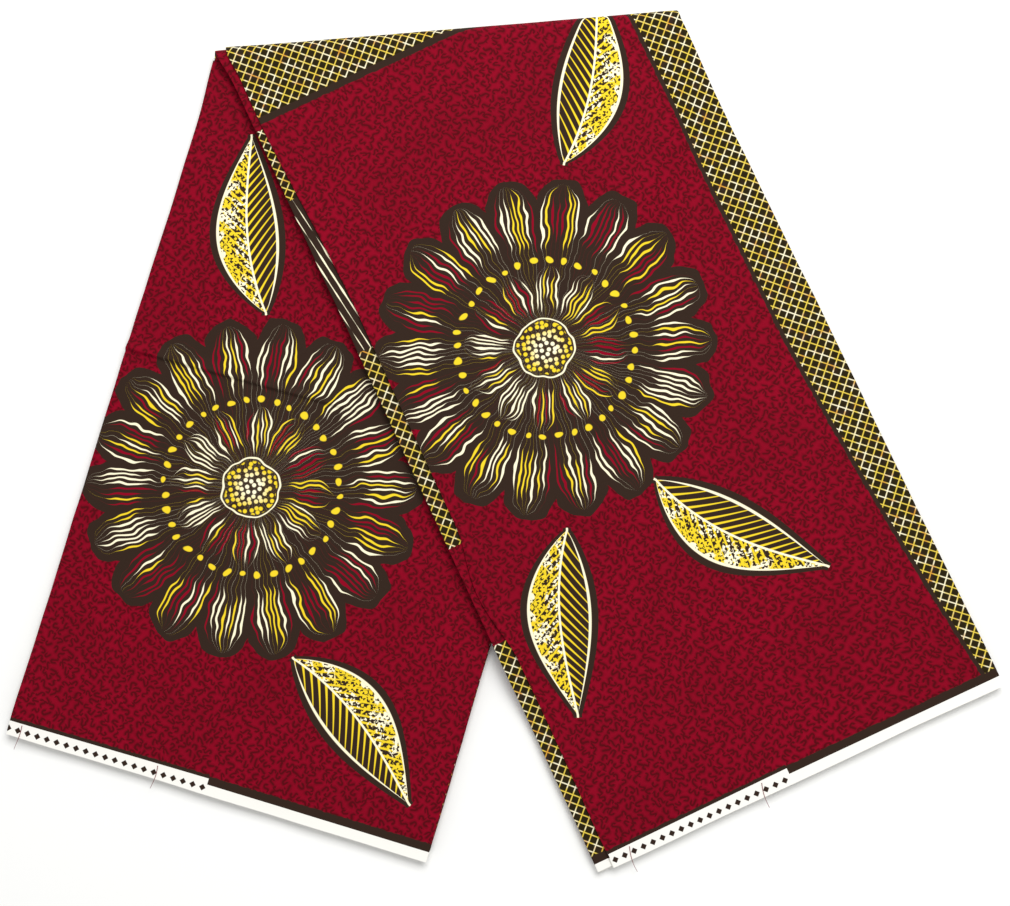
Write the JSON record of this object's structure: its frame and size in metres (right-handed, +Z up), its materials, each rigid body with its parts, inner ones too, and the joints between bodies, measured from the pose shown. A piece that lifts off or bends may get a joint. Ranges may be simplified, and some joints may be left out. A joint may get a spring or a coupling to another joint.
{
  "type": "folded wax print fabric",
  "caption": "Length of printed cotton cloth folded into a layered strip and folded once across, its two legs lying flat in an open V.",
  "frame": {"origin": "middle of the underside, on the surface the cloth lies on", "axes": "+X along the cross fold, +Y from the hems to the cross fold, +Z up"},
  "size_m": [0.7192, 0.6208, 0.0164],
  "materials": {
    "printed_cotton": "calendered plain weave cotton, wax printed",
    "folded_layers": "folded edges of the same cotton"
  },
  "bodies": {
    "root": {"front_top_layer": "printed_cotton", "front_second_layer": "printed_cotton", "front_hidden_layers": "folded_layers", "front_under_layer": "printed_cotton", "back_top_layer": "printed_cotton", "back_hidden_layers": "folded_layers", "back_under_layer": "printed_cotton"}
  },
  "joints": []
}
